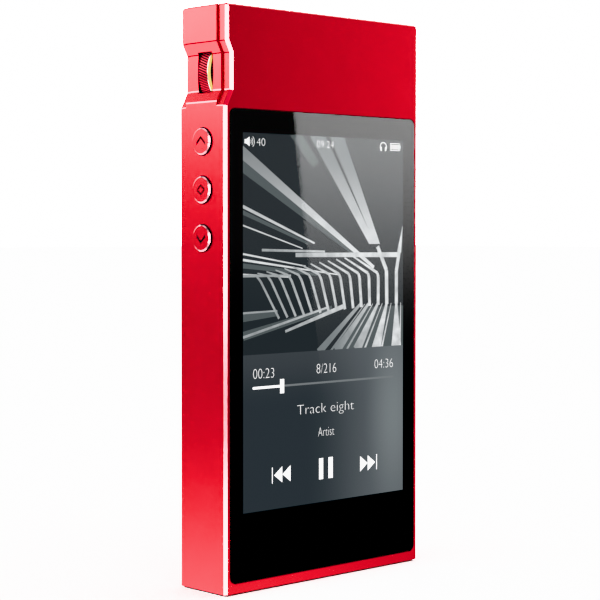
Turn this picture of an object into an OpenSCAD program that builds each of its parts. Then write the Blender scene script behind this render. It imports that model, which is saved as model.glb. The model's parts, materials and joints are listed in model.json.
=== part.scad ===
// Digital audio player: a chamfered aluminium body that stands on its bottom end.
// +X is to the right of the screen, the screen faces -Y and +Z is up. The origin is
// at the middle of the bottom face. All sizes are in millimetres.

/* [Body] */
// Width of the body
body_w = 52; // [51.6:0.1:52.4]
// Thickness of the body
body_d = 13; // [13:0.1:13.4]
// Height of the body
body_h = 109.6; // [109.4:0.1:111]
// Chamfer of the long edges, across the face
edge_cut = 0.4; // [0.3:0.05:0.6]
// Chamfer of the top and bottom edges
end_cut = 0.35; // [0.2:0.05:0.45]

/* [Side recess] */
// Inset of the edge strips beside the head of the body
head_inset = 0.45; // [0.3:0.05:0.6]
// Depth of the recess in the edge strips
notch_depth = 1.57; // [1.4:0.01:1.7]
// Height where the recess starts
notch_z = 90.75; // [90.7:0.05:91.2]
// Width of the raised band between the edge strips
band_w = 8.7; // [8.4:0.1:9]

/* [Screen] */
// Width of the cover glass
glass_w = 49.9; // [49.6:0.1:50.1]
// Height of the cover glass
glass_h = 88.1; // [87.8:0.1:88.2]
// Width of the lit picture
picture_w = 43.4; // [42:0.1:44]
// Height of the lit picture
picture_h = 70.9; // [70:0.1:72]

/* [Controls] */
// Radius of the volume wheel
wheel_r = 7; // [6.9:0.05:7.05]
// Thickness of the volume wheel
wheel_t = 3.4; // [3:0.1:3.4]
// Radius of a side button
button_r = 2.5; // [2.3:0.05:2.6]
// Distance between side buttons
button_pitch = 9; // [8.8:0.02:9.2]
// How far a side button stands out
button_proud = 0.5; // [0.4:0.05:0.7]
// How far a button travels
button_travel = 0.3; // [0.2:0.05:0.35]

/* [Sockets] */
// Radius of the headphone socket's bore
jack_r = 1.8; // [1.78:0.01:1.85]
// Depth of the headphone socket's bore
jack_depth = 14; // [14:0.1:14.6]
// Width of the data socket's mouth
usb_w = 8.34; // [8.3:0.01:8.4]
// Height of the data socket's mouth
usb_t = 2.56; // [2.5:0.01:2.6]

/* [Hidden] */
$fn = 48;
eps = 0.01;

// Planes through the thickness, front to back
front_y = -body_d / 2;
back_y = body_d / 2;
glass_y = front_y - 0.1;
glass_t = 0.75;
tape_t = 0.15;
ledge_y = glass_y + glass_t + tape_t;
sensor_t = 0.2;
lcd_y = glass_y + glass_t + sensor_t;
lcd_t = 0.8;
backlight_t = 0.9;
plate_y = lcd_y + lcd_t + backlight_t;
plate_t = 0.6;
room_y = plate_y + plate_t;
cover_y = back_y - 1;
board_t = 0.8;
board_y = 4.1;
board_back = board_y + board_t;

// Walls
side_wall = 2.1;
end_wall = 2.2;
left_x = -body_w / 2;
inner_x = left_x + side_wall;
notch_wall_x = left_x + 3.6;
roof_z = body_h - end_wall;
fit = 0.1;

// Recess beside the wheel
slope_run = 1.943;
notch_h = 6.77;
head_slope_h = 2.15;
band_depth = notch_depth - head_inset;
notch_floor_z = notch_z + notch_depth * slope_run;
notch_top_z = notch_floor_z + notch_h;
head_z = notch_top_z + head_slope_h;
band_notch_z = notch_floor_z - band_depth * slope_run;
wheel_y = 0.4;
wheel_x = left_x + 0.45 + wheel_r;
wheel_z = (notch_floor_z + notch_top_z) / 2;
slot_t = 4;

// Volume wheel and what it turns on
trim_cut = 0.47;
rim_half = wheel_t / 2 - trim_cut;
hub_r = wheel_r - 1.1;
hub_half = wheel_t / 2 - 0.1;
shaft_r = 1;
rotor_r = 2.4;
encoder_y = wheel_y + wheel_t / 2 + 0.2;

// Rear cover
cover_rim = 1.45;
cover_hooks = [-14, 14];

// Screen
glass_z = 2.25;
glass_corner = 1.4;
picture_z = 15.05;
sight_w = body_w - 2 * side_wall - 0.6;

// Side buttons
button_y = -0.05;
button_z = [for (i = [1:-1:-1]) 75.33 + i * button_pitch];
flange_r = button_r + 0.75;
flange_t = 0.6;
flange_x = inner_x + 0.05;
nub_x = flange_x + flange_t;
plunger_x = nub_x + 0.5;
plunger_l = 0.85;
plunger_r = 0.7;
switch_x = plunger_x + button_travel + 0.15;
switch_t = 1.2;
key_board_x = switch_x + switch_t;
key_board_t = 0.6;
button_rim = [0.15, 0.24];
glyph_w = 2.45;
glyph_line = 0.46;
glyph_deep = 0.12;

// Power key and status light on the top end
power_x = 9;
power_w = 8.4;
power_r = 1.4;
power_proud = 0.5;
power_flange_z = roof_z - 0.05;
power_switch_z = 103.2;
light_x = power_x - 9;
light_r = 0.6;

// Sockets in the bottom end
jack_x = -15;
jack_body_r = 2.6;
collar_r = 3.1;
usb_x = 0;
usb_y = 0.3;
usb_wall = 0.3;
usb_l = 7.3;
card_z = 76;
card_y = 2.9;
card_l = 12.8;
contact_z = [3.6, 6.4, 9.2, 12];

// Boards
board_z = 60;
board_top = 106.4;
board_half = 23.5;
low_board_y = usb_y + usb_t / 2 + usb_wall;
low_board = [[jack_x + 3.1, 23.4], [2.6, 15]];
battery_size = [40, 6.3, 41];
battery_z = 16.6;
post_r = 1.6;
posts = [[-9.5, 104], [21.4, 103.6], [21.4, 62.6], [-17.8, 62.6]];
plate_boss_at = [[-20.6, 105.3], [0, 105.3], [15, 105.3], [7, 91.6], [18, 91.6]];
lead_x = [-12.8, -11.4];
lead_y = room_y + 3;
screw_r = 0.65;
case_screw_x = 21.6;
case_screw_y = 3.8;

// ---------------------------------------------------------------- helpers

// The point where two lines meet, each given by a point and a direction
function meet(p, u, q, v) =
    let (k = ((q[0] - p[0]) * v[1] - (q[1] - p[1]) * v[0]) / (u[0] * v[1] - u[1] * v[0]))
    p + k * u;

function unit(v) = v / norm(v);

// A counter-clockwise outline moved inwards, each edge by its own distance
function inset_outline(points, cuts) =
    let (n = len(points))
    [for (i = [0:n - 1])
        let (
            h = (i + n - 1) % n,
            u = unit(points[i] - points[h]),
            v = unit(points[(i + 1) % n] - points[i])
        )
        meet(points[i] + cuts[h] * [-u[1], u[0]], u, points[i] + cuts[i] * [-v[1], v[0]], v)];

// A slab standing in XZ from y0 to y1, with a chamfered front rim and a smaller chamfer
// round its back rim, in the proportion back
module chamfered_slab(points, cuts, y0, y1, deep, back) {
    n = len(points);
    rings = [
        [inset_outline(points, cuts), y0], [points, y0 + deep],
        [points, y1 - back * deep], [inset_outline(points, back * cuts), y1]
    ];
    polyhedron(
        [for (ring = rings, p = ring[0]) [p[0], ring[1], p[1]]],
        concat(
            [[for (i = [0:n - 1]) (n - i) % n]],
            [[for (i = [0:n - 1]) 3 * n + i]],
            [for (k = [0:2], i = [0:n - 1])
                [k * n + i, k * n + (i + 1) % n, (k + 1) * n + (i + 1) % n, (k + 1) * n + i]]
        )
    );
}

// A flat plate standing in XZ with its outline given in X and Z
module standing(y0, y1) {
    translate([0, y1, 0]) rotate([90, 0, 0]) linear_extrude(y1 - y0) children();
}

module rounded_rect(w, h, r) {
    square([w - 2 * r, h], center = true);
    square([w, h - 2 * r], center = true);
    for (x = [-1, 1], z = [-1, 1])
        translate([x * (w / 2 - r), z * (h / 2 - r)]) circle(r);
}

// A rounded plate in XZ, centred on cx, from z0 upwards
module plate(w, h, r, y0, y1, z0 = 0, cx = 0) {
    standing(y0, y1) translate([cx, z0 + h / 2]) rounded_rect(w, h, r);
}

// The two ends of a range, given about c
function span(c, low, high) = [c + low, c + high];

// A box that fills a range along each axis
module block(x, y, z) {
    translate([x[0], y[0], z[0]]) cube([x[1] - x[0], y[1] - y[0], z[1] - z[0]]);
}

module along_x(x0, x1, r, y, z) {
    translate([x0, y, z]) rotate([0, 90, 0]) cylinder(h = x1 - x0, r = r);
}

module along_y(y0, y1, r, x, z) {
    translate([x, y1, z]) rotate([90, 0, 0]) cylinder(h = y1 - y0, r = r);
}

module stadium(w, r) {
    square([w - 2 * r, 2 * r], center = true);
    for (x = [-1, 1]) translate([x * (w / 2 - r), 0]) circle(r);
}

module upright_stadium(w, r, z0, z1) {
    translate([0, 0, z0]) linear_extrude(z1 - z0) stadium(w, r);
}

// ---------------------------------------------------------------- casing

// Outline of the body as seen from the front, with the recess on its left side
// It starts at the top right, from where every other corner can be seen
function body_outline(out, depth, low_z, cut = end_cut) = [
    [-left_x, body_h - cut],
    [-left_x - cut, body_h],
    [left_x + out + cut, body_h],
    [left_x + out, body_h - cut],
    [left_x + out, head_z],
    [left_x + depth, notch_top_z],
    [left_x + depth, notch_floor_z],
    [left_x, low_z],
    [left_x, cut],
    [left_x + cut, 0],
    [-left_x - cut, 0],
    [-left_x, cut]
];

module body_solid() {
    end = end_cut;
    corner = (edge_cut + end_cut) / 2;
    long = edge_cut;
    chamfered_slab(
        body_outline(head_inset, notch_depth, notch_z),
        [corner, end, corner, long, long, long, long, long, corner, end, corner, long],
        front_y, back_y, edge_cut + 0.25, 0.35
    );
    standing(wheel_y - band_w / 2, wheel_y + band_w / 2)
        polygon(body_outline(0, band_depth, band_notch_z));
}

module cavity() {
    standing(front_y + 1.5, cover_y + eps) polygon([
        [inner_x, end_wall], [-inner_x, end_wall], [-inner_x, roof_z],
        [inner_x, roof_z], [inner_x, head_z + 1.6], [notch_wall_x, head_z + 1.6],
        [notch_wall_x, notch_z - 2.6], [inner_x, notch_z - 2.6]
    ]);
}

module wheel_pocket() {
    along_y(wheel_y - slot_t / 2, wheel_y + slot_t / 2, wheel_r + 0.6, wheel_x, wheel_z);
    // Dished relief on both sides, so that a thumb meets no sharp slot edge
    for (side = [-1, 1])
        translate([wheel_x, wheel_y + side * slot_t / 2, wheel_z]) rotate([-side * 90, 0, 0])
            cylinder(h = 0.5, r1 = wheel_r + 0.25, r2 = wheel_r - 1.9);
}

module case_screw_holes() {
    for (side = [-1, 1]) translate([side * case_screw_x, case_screw_y, 0]) {
        translate([0, 0, -1]) cylinder(h = end_wall + 2, r = screw_r + 0.15);
        translate([0, 0, -eps]) cylinder(h = 0.85 + eps, r = 1.35);
    }
}

module housing() {
    color([0.78, 0.02, 0.08]) union() {
        difference() {
            body_solid();
            cavity();
            plate(glass_w + 2 * fit, glass_h + 2 * fit, glass_corner + fit, front_y - 1, ledge_y,
                glass_z - fit);
            plate(sight_w, glass_h - 2.6, 1, ledge_y - eps, front_y + 1.6, glass_z + 1.4);
            standing(cover_y, back_y + 1) cover_outline(cover_rim);
            for (x = cover_hooks)
                block(span(x, -3.1, 3.1), [cover_y - 0.65, cover_y + eps], [roof_z - 0.1, body_h - 0.7]);
            wheel_pocket();
            for (z = button_z) along_x(left_x - 1, inner_x + 1, button_r + fit, button_y, z);
            translate([power_x, button_y, 0])
                upright_stadium(power_w + 2 * fit, power_r + fit, roof_z - 1, body_h + 1);
            translate([light_x, button_y, roof_z - 1]) cylinder(h = 4, r = light_r + 0.03);
            translate([jack_x, 0, -1]) cylinder(h = end_wall + 2, r = collar_r + 0.05);
            translate([usb_x, usb_y, 0])
                upright_stadium(usb_w + 2 * usb_wall + 0.3, usb_t / 2 + usb_wall + 0.15, -1, end_wall + 1);
            case_screw_holes();
            block([-inner_x - 1, -left_x + 1], span(card_y, -0.7, 0.7), span(card_z, -6, 6));
        }
        plate_bosses();
    }
}

// Threaded bosses that hold the mid plate, in the corners of the front wall
module plate_bosses() {
    for (p = plate_boss_at) difference() {
        along_y(front_y + 1.4, plate_y, 1.5, p[0], p[1]);
        along_y(front_y + 1.6, plate_y + 1, screw_r, p[0], p[1]);
    }
}

// Outline of the rear cover, a little inside that of the body
module cover_outline(rim) {
    polygon(inset_outline(
        body_outline(head_inset, notch_depth, notch_z, 1.8), [for (i = [0:11]) rim]
    ));
}

module rear_cover() {
    lug = 3.8;
    color([0.72, 0.02, 0.07]) union() {
        standing(cover_y, back_y) cover_outline(cover_rim + fit);
        // Lugs that the case screws pull against the bottom wall
        for (side = [-1, 1]) difference() {
            block(span(side * case_screw_x, -1.9, 1.9), [case_screw_y - 1.6, cover_y + eps],
                span(end_wall + fit, 0, lug));
            translate([side * case_screw_x, case_screw_y, 0]) cylinder(h = 12, r = screw_r);
        }
        // Hooks that slide under the top rim
        for (x = cover_hooks)
            block(span(x, -3, 3), [cover_y - 0.55, cover_y + eps], [roof_z - 2.4, body_h - 0.8]);
    }
}

// ---------------------------------------------------------------- screen

module cover_glass() {
    color([0.02, 0.02, 0.025])
        plate(glass_w, glass_h, glass_corner, glass_y, glass_y + glass_t, glass_z);
}

module glass_adhesive() {
    color([0.1, 0.1, 0.1]) difference() {
        plate(glass_w - 0.3, glass_h - 0.3, glass_corner, glass_y + glass_t, ledge_y, glass_z + 0.15);
        plate(sight_w, glass_h - 2.6, 1, glass_y, ledge_y + 1, glass_z + 1.4);
    }
}

module touch_sensor() {
    color([0.3, 0.32, 0.35])
        plate(sight_w - 0.8, glass_h - 4, 0.5, glass_y + glass_t, lcd_y, glass_z + 2.2);
}

module lcd_panel() {
    color([0.12, 0.15, 0.17])
        plate(picture_w + 2.2, picture_h + 7, 0.3, lcd_y, lcd_y + lcd_t, picture_z - 5.2);
}

module backlight() {
    color([0.85, 0.86, 0.88])
        plate(picture_w + 2.6, picture_h + 5.4, 0.3, lcd_y + lcd_t, plate_y, picture_z - 3.4);
}

module mid_plate() {
    color([0.62, 0.63, 0.65]) difference() {
        standing(plate_y, room_y) polygon([
            [-22.9, 3.2], [22.9, 3.2], [22.9, 106.8], [-21.9, 106.8], [-21.9, 87.6], [-22.9, 87.6]
        ]);
        for (p = plate_boss_at) along_y(plate_y - 1, room_y + 1, 0.8, p[0], p[1]);
        for (p = posts) along_y(plate_y - 1, room_y + 1, 0.9, p[0], p[1]);
        // Slot for the display flex, and lightening holes behind the screen
        block([1.6, 14.4], [plate_y - 1, room_y + 1], [89, 90]);
        for (x = [-12, 0, 12], z = [68, 80]) along_y(plate_y - 1, room_y + 1, 3, x, z);
    }
}

// ---------------------------------------------------------------- side buttons

// Two sloping strokes that point up, for a mark on a button
module chevron(s) {
    w = glyph_w / 2;
    h = 1.15 * s;
    t = glyph_line * s;
    polygon([[-w, 0], [0, h], [w, 0], [w, -1.3 * t], [0, h - 1.3 * t], [-w, -1.3 * t]]);
}

// up = 1 marks the previous key, up = -1 the next key, and 0 a closed lozenge
module glyph(up) {
    if (up != 0) translate([0, -0.1 * up]) chevron(up);
    else for (s = [-1, 1]) translate([0, s * 0.22]) scale([0.9, 0.7]) chevron(s);
}

module side_button(index, up) {
    z = button_z[index];
    outer_x = left_x - button_proud;
    color([0.85, 0.03, 0.1]) difference() {
        union() {
            along_x(outer_x + button_rim[0], flange_x + eps, button_r, button_y, z);
            translate([outer_x, button_y, z]) rotate([0, 90, 0])
                cylinder(h = button_rim[0], r1 = button_r - button_rim[1], r2 = button_r);
            along_x(flange_x, nub_x, flange_r, button_y, z);
            along_x(nub_x - eps, plunger_x, 0.9, button_y, z);
        }
        translate([outer_x + glyph_deep, button_y, z]) rotate([90, 0, -90])
            linear_extrude(1) glyph(up);
    }
}

module switch_plunger(index) {
    color([0.9, 0.9, 0.88])
        along_x(plunger_x, plunger_x + plunger_l, plunger_r, button_y, button_z[index]);
}

module track_switches() {
    color([0.25, 0.25, 0.27]) for (z = button_z) difference() {
        block([switch_x, key_board_x], span(button_y, -1.5, 1.5), span(z, -1.7, 1.7));
        along_x(switch_x - 1, switch_x + switch_t - 0.25, plunger_r + 0.06, button_y, z);
    }
}

module side_key_board() {
    color([0.05, 0.3, 0.12]) difference() {
        block(span(key_board_x, 0, key_board_t), span(button_y, -2.8, 3.2), [61.8, 89.6]);
        for (z = span(button_z[1], -4.5, 4.5))
            along_x(key_board_x - 1, key_board_x + 2, 0.5, button_y, z);
    }
}

// A steel angle behind the key board that takes the push of a finger
module side_key_bracket() {
    x = key_board_x + key_board_t;
    color([0.7, 0.71, 0.73]) union() {
        block(span(x, 0, 0.5), [room_y, button_y + 3], [65.4, 88.6]);
        block(span(x, 0.5, 4), span(room_y, 0, 0.5), [65.4, 88.6]);
    }
}

module side_key_flex() {
    x = key_board_x + key_board_t + 0.5;
    color([0.85, 0.5, 0.1]) union() {
        block(span(x, 0, 0.15), [-1.5, board_y - 0.5], [70, 76]);
        block(span(x, 0, 4), span(board_y, -0.5, -0.35), [70, 76]);
        block(span(x, 2, 4), span(board_y, -0.36, 0), [70, 76]);
    }
}

// ---------------------------------------------------------------- top end

module power_button() {
    color([0.82, 0.03, 0.09]) translate([power_x, button_y, 0]) union() {
        upright_stadium(power_w, power_r, power_flange_z - eps, body_h + power_proud - 0.2);
        upright_stadium(power_w - 0.4, power_r - 0.2, body_h, body_h + power_proud);
        upright_stadium(power_w + 1.4, power_r + 0.7, power_flange_z - 0.7, power_flange_z);
        translate([0, 0, power_flange_z - 1]) cylinder(h = 0.4, r = 0.9);
    }
}

module power_plunger() {
    color([0.9, 0.9, 0.88]) translate([power_x, button_y, power_switch_z + 1.9])
        cylinder(h = power_flange_z - 1 - power_switch_z - 1.9, r = plunger_r);
}

module power_switch() {
    color([0.25, 0.25, 0.27]) difference() {
        block(span(power_x, -3, 3), [button_y - 1.7, board_y], span(power_switch_z, 0, 2.4));
        translate([power_x, button_y, power_switch_z + 1.4]) cylinder(h = 4, r = plunger_r + 0.06);
    }
}

module status_light_pipe() {
    color([0.9, 0.92, 0.95]) translate([light_x, button_y, 0]) union() {
        translate([0, 0, roof_z - 0.6]) cylinder(h = end_wall + 0.6, r = light_r);
        translate([0, 0, roof_z - 0.9]) cylinder(h = 0.85, r = light_r + 0.5);
    }
}

module status_led() {
    color([0.95, 0.95, 0.8])
        block(span(light_x, -0.8, 0.8), [button_y - 0.5, board_y], span(roof_z, -2, -1));
}

// ---------------------------------------------------------------- volume wheel

// A ring about the wheel's axis, from a profile of [radius, distance along the axis]
module turned(points) {
    translate([wheel_x, wheel_y, wheel_z]) rotate([90, 0, 0]) rotate_extrude() polygon(points);
}

module wheel_rim() {
    grooves = 60;
    tip = 0.12;
    color([0.8, 0.05, 0.1]) difference() {
        turned([[hub_r, -rim_half], [wheel_r, -rim_half], [wheel_r, rim_half], [hub_r, rim_half]]);
        // A coarse knurl: straight grooves across the rim
        for (i = [0:grooves - 1])
            translate([wheel_x, wheel_y, wheel_z]) rotate([0, (i + 0.5) * 360 / grooves, 0])
                translate([wheel_r, 0, 0]) rotate([0, 45, 0])
                    cube([tip, wheel_t, tip], center = true);
    }
}

module wheel_trim_ring() {
    color([0.8, 0.65, 0.25]) for (s = [-1, 1])
        turned([
            [hub_r, s * rim_half], [wheel_r, s * rim_half],
            [wheel_r - trim_cut, s * wheel_t / 2], [hub_r, s * wheel_t / 2]
        ]);
}

module wheel_hub() {
    web = 0.6;
    boss_r = 2.2;
    ring_r = 4.8;
    color([0.05, 0.05, 0.055])
        turned([
            [shaft_r, -hub_half], [boss_r, -hub_half], [boss_r, -web], [ring_r, -web],
            [ring_r, -hub_half], [hub_r, -hub_half], [hub_r, hub_half], [ring_r, hub_half],
            [ring_r, web], [boss_r, web], [boss_r, hub_half], [shaft_r, hub_half]
        ]);
}

module wheel_shaft() {
    color([0.75, 0.76, 0.78]) along_y(room_y + 0.3, board_y - 0.25, shaft_r, wheel_x, wheel_z);
}

module encoder_rotor() {
    color([0.9, 0.9, 0.86]) difference() {
        along_y(encoder_y, board_y - 0.3, rotor_r, wheel_x, wheel_z);
        along_y(encoder_y - 1, board_y, shaft_r, wheel_x, wheel_z);
    }
}

module encoder_body() {
    color([0.15, 0.15, 0.16]) difference() {
        block(span(wheel_x, -3.4, 5.6), [encoder_y, board_y], span(wheel_z, -5.2, 5.2));
        along_y(encoder_y - 1, board_y - 0.2, rotor_r + 0.06, wheel_x, wheel_z);
    }
}

module wheel_bracket() {
    color([0.68, 0.69, 0.71]) difference() {
        union() {
            block(span(wheel_x, -2.8, 10), [room_y + 0.5, room_y + 1], span(wheel_z, -3.4, 3.4));
            block(span(wheel_x, 7.4, 10), [room_y, room_y + 0.5], span(wheel_z, -3.4, 3.4));
        }
        along_y(room_y - 1, room_y + 2, 1.6, wheel_x, wheel_z);
    }
}

module wheel_bush() {
    color([0.92, 0.92, 0.9]) difference() {
        union() {
            along_y(room_y + 0.15, room_y + 1.3, 1.6, wheel_x, wheel_z);
            along_y(room_y + 1, room_y + 1.3, 2.2, wheel_x, wheel_z);
        }
        along_y(room_y - 1, room_y + 2, shaft_r + 0.05, wheel_x, wheel_z);
    }
}

// ---------------------------------------------------------------- sockets

module headphone_jack() {
    bore_z = 0.25;
    color([0.04, 0.04, 0.045]) translate([jack_x, 0, 0]) difference() {
        union() {
            translate([0, 0, bore_z]) cylinder(h = jack_depth + 1.4, r = jack_body_r);
            block([-3.1, 3.1], [-2.8, 2.8], [end_wall + 0.1, bore_z + jack_depth + 1.4]);
        }
        translate([0, 0, bore_z - 1]) cylinder(h = jack_depth + 1, r = jack_r);
        // Windows for the spring contacts, on alternate sides
        for (i = [0:3]) mirror([i % 2, 0, 0])
            block([jack_r - 0.3, 4], [-0.55, 0.55], span(contact_z[i], -0.6, 0.6));
    }
}

module jack_collar() {
    color([0.85, 0.7, 0.35]) translate([jack_x, 0, 0.15]) difference() {
        cylinder(h = 1.5, r = collar_r);
        translate([0, 0, -1]) cylinder(h = 4, r = jack_body_r + 0.02);
        translate([0, 0, -eps]) cylinder(h = 0.25, r1 = jack_body_r + 0.25, r2 = jack_body_r);
    }
}

module jack_contacts() {
    tip = jack_r + 0.1;
    color([0.85, 0.7, 0.35]) translate([jack_x, 0, 0]) for (i = [0:3])
        mirror([i % 2, 0, 0]) union() {
            block([tip, 3.3], [-0.45, 0.45], span(contact_z[i], -0.12, 0.12));
            block([3.15, 3.35], [-0.45, 0.45], span(contact_z[i], -0.5, 0.5));
        }
}

module usb_shell() {
    z0 = 0.2;
    color([0.78, 0.79, 0.8]) translate([usb_x, usb_y, 0]) difference() {
        upright_stadium(usb_w + 2 * usb_wall, usb_t / 2 + usb_wall, z0, z0 + usb_l);
        upright_stadium(usb_w, usb_t / 2, z0 - 1, z0 + usb_l - 0.8);
    }
}

module usb_tongue() {
    color([0.05, 0.05, 0.055]) translate([usb_x, usb_y, 0]) union() {
        block([-3.2, 3.2], [-0.35, 0.35], [1, usb_l - 1.8]);
        upright_stadium(usb_w - 0.04, usb_t / 2 - 0.02, usb_l - 1.9, usb_l - 0.62);
    }
}

module card_socket() {
    x1 = -inner_x - 0.1;
    color([0.08, 0.08, 0.085]) difference() {
        block([x1 - card_l, x1], [card_y + 0.45, board_y], span(card_z, -6.4, 6.4));
        for (i = [0:7])
            block(span(x1 - 11, 0, 4), [card_y, card_y + 0.75], span(card_z - 4.4 + 1.1 * i, 0, 0.6));
    }
}

module card_socket_shell() {
    x1 = -inner_x - 0.1;
    color([0.75, 0.76, 0.78]) difference() {
        block([x1 - card_l, x1], [card_y - 0.75, board_y], span(card_z, -6.8, 6.8));
        block([x1 - card_l - 1, x1 + 1], [card_y - 0.55, board_y + 1], span(card_z, -6.45, 6.45));
        block(span(x1 - 9, 0, 5), [card_y - 1, card_y], span(card_z, -4, -2.4));
    }
}

module card_contacts() {
    x1 = -inner_x - 0.1;
    color([0.85, 0.7, 0.35]) for (i = [0:7])
        block(span(x1 - 11, 0.1, 3.9), span(card_y, 0.3, 0.6), span(card_z - 4.4 + 1.1 * i, 0.1, 0.5));
}

// ---------------------------------------------------------------- electronics

module main_board() {
    color([0.04, 0.22, 0.1]) difference() {
        standing(board_y, board_back) polygon([
            [-board_half + 4, board_z], [board_half, board_z], [board_half, board_top],
            [-board_half + 2, board_top], [-board_half + 2, 88.2], [-board_half, 86.2],
            [-board_half, board_z + 4]
        ]);
        for (p = posts) along_y(board_y - 1, board_back + 1, 0.8, p[0], p[1]);
    }
}

module bottom_board() {
    color([0.04, 0.22, 0.1]) difference() {
        block(low_board[0], span(low_board_y, 0, board_t), low_board[1]);
        for (x = [-8, 14]) along_y(low_board_y - 1, low_board_y + 2, 0.8, x, 11.5);
        block([case_screw_x - 2.2, 24], [low_board_y - 1, low_board_y + 2], [2, 6.6]);
    }
}

// A flat cable that joins the two boards behind the battery, with a plug at each end
module board_flex() {
    y = board_y - 0.42;
    color([0.85, 0.5, 0.1]) union() {
        block([4, 12], span(y, 0, 0.15), [9, 64.5]);
        block([4, 12], [y + 0.14, board_y], [61, 64.5]);
        block([4, 12], [low_board_y + board_t, y + eps], [9, 12.6]);
    }
}

module display_flex() {
    t = 0.15;
    y1 = board_y - 0.5;
    color([0.85, 0.5, 0.1]) union() {
        block([2.6, 13.4], span(lcd_y, lcd_t - t, lcd_t), [picture_z + picture_h + 1.8, 89.6]);
        block([2.6, 13.4], [lcd_y + lcd_t - t, y1 + t], [89.4, 89.55]);
        block([2.6, 13.4], span(y1, 0, t), [84.2, 89.5]);
        block([2.6, 13.4], [y1 + t - eps, board_y], [84.2, 86.6]);
    }
}

// A chip on the front of the main board, given its centre and its size
module chip(x, z, w, h, t) {
    block(span(x, -w / 2, w / 2), [board_y - t, board_y], span(z, -h / 2, h / 2));
}

module processor() { color([0.06, 0.06, 0.07]) chip(-6, 74, 11, 11, 1.1); }
module memory_chip() { color([0.07, 0.07, 0.08]) chip(5.5, 79, 7.6, 9, 0.9); }
module storage_chip() { color([0.07, 0.07, 0.08]) chip(-6, 84.6, 10, 7, 0.9); }
module audio_converter() { color([0.07, 0.07, 0.08]) chip(19, 92.5, 5, 5, 0.85); }
module headphone_amplifier() { color([0.07, 0.07, 0.08]) chip(19, 99.2, 4, 4, 0.85); }
module power_manager() { color([0.07, 0.07, 0.08]) chip(5.5, 69.5, 6, 6, 0.9); }
module radio_module() { color([0.72, 0.73, 0.74]) chip(-4, 96, 8, 9, 1.6); }

module shield_can() {
    w = [-13.4, 10.6];
    z = [66, 83.9];
    color([0.74, 0.75, 0.76]) difference() {
        block(w, [board_y - 2, board_y], z);
        block(w + [0.2, -0.2], [board_y - 1.8, board_y + 1], z + [0.2, -0.2]);
        for (i = [0:5]) along_y(board_y - 3, board_y - 1, 0.5, -9 + 3 * i, 68);
        // A side mouth lets the storage chip and its tracks through
        block([-11.2, -0.8], [board_y - 1.3, board_y + 1], [80.8, 84]);
    }
}

module filter_capacitors() {
    color([0.8, 0.62, 0.2]) for (i = [0:3])
        block(span(5 + 2.9 * i, 0, 2.1), [board_y - 1.9, board_y], [91.5, 95]);
}

module crystals() {
    color([0.8, 0.81, 0.83]) for (x = [8, 12]) chip(x, 99.5, 2.5, 3.2, 0.7);
}

module battery() {
    y0 = room_y + 0.2;
    color([0.72, 0.74, 0.77]) union() {
        block([-battery_size[0] / 2, battery_size[0] / 2], span(y0, 0, battery_size[1]),
            span(battery_z, 0, battery_size[2] - 3));
        // The folded seam at the top of the pouch
        block([-battery_size[0] / 2 + 1, battery_size[0] / 2 - 1], span(y0, 1.4, battery_size[1] - 1.4),
            span(battery_z + battery_size[2], -3.01, 0));
    }
}

module battery_tape() {
    color([0.95, 0.95, 0.9])
        for (x = [-10, 10])
            block(span(x, -6, 6), span(room_y, 0, 0.2), span(battery_z, 4, battery_size[2] - 6));
}

module battery_lead() {
    top = battery_z + battery_size[2];
    for (i = [0:1]) color(i == 0 ? [0.8, 0.05, 0.05] : [0.05, 0.05, 0.05])
        translate([lead_x[i], lead_y, top]) union() {
            cylinder(h = 2.5, r = 0.45);
            // A quarter turn towards the main board
            translate([0, 1.5, 2.5]) rotate([0, -90, 0]) rotate([0, 0, -90])
                rotate_extrude(angle = 90) translate([1.5, 0]) circle(0.45);
            translate([0, 1.5, 4]) rotate([-90, 0, 0]) cylinder(h = board_y - lead_y - 2.9, r = 0.45);
        }
}

module battery_plug() {
    z = battery_z + battery_size[2] + 4;
    color([0.92, 0.92, 0.88])
        block([lead_x[0] - 1.4, lead_x[1] + 1.4], span(board_y, -1.4, 0), span(z, -1.1, 2.3));
}

// ---------------------------------------------------------------- fasteners

// A screw along -Y with a flat cross-recessed head that starts at y
module screw(x, z, y, length, head_r, head_t) {
    difference() {
        union() {
            along_y(y - length, y + eps, screw_r, x, z);
            along_y(y, y + head_t, head_r, x, z);
        }
        for (a = [0, 90]) translate([x, y + head_t, z]) rotate([0, a, 0])
            cube([1.3, head_t, 0.25], center = true);
    }
}

// Spacers from the mid plate to the main board, each with its screw
module board_screws() {
    color([0.7, 0.71, 0.73]) for (p = posts) {
        difference() {
            along_y(room_y, board_y, post_r, p[0], p[1]);
            along_y(board_y - 3, board_y + 1, screw_r, p[0], p[1]);
        }
        screw(p[0], p[1], board_back, 3, 1.2, 0.45);
    }
}

module plate_screws() {
    color([0.6, 0.61, 0.63]) for (p = plate_boss_at) screw(p[0], p[1], room_y, 1.5, 1.2, 0.45);
}

module case_screws() {
    color([0.16, 0.16, 0.17]) for (side = [-1, 1])
        translate([side * case_screw_x, case_screw_y, 0]) difference() {
            union() {
                translate([0, 0, 0.15]) cylinder(h = 0.7, r = 1.25);
                cylinder(h = 5.6, r = screw_r);
            }
            translate([0, 0, -eps]) cylinder(h = 0.16, r = 2);
            translate([0, 0, -eps]) cylinder(h = 0.55, r = 0.55, $fn = 6);
        }
}

// ---------------------------------------------------------------- nodes

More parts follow.
